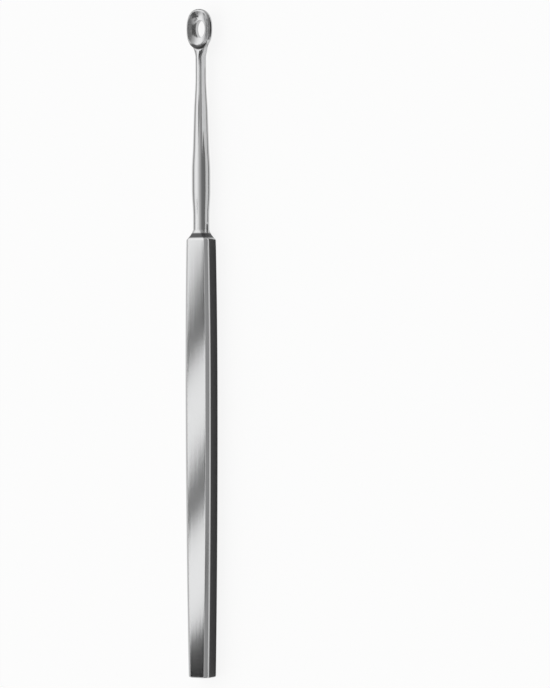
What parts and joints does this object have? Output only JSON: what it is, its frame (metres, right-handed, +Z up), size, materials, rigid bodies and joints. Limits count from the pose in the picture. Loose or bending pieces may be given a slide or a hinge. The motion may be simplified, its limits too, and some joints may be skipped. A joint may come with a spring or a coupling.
{
  "type": "dermal curette",
  "caption": "Slim steel hand instrument with a flat-sided handle, a swelled round shank and an oval cup with a window through its floor, for scraping skin.",
  "frame": {"origin": "centre of the part's box in plan, on the surface that the handle lies on", "axes": "+Y along the tool towards the cup, +Z up out of the cup's mouth, +X across the handle's width"},
  "size_m": [0.0064, 0.145, 0.0044],
  "materials": {
    "steel": "polished"
  },
  "bodies": {
    "root": {"curette": "steel"}
  },
  "joints": []
}
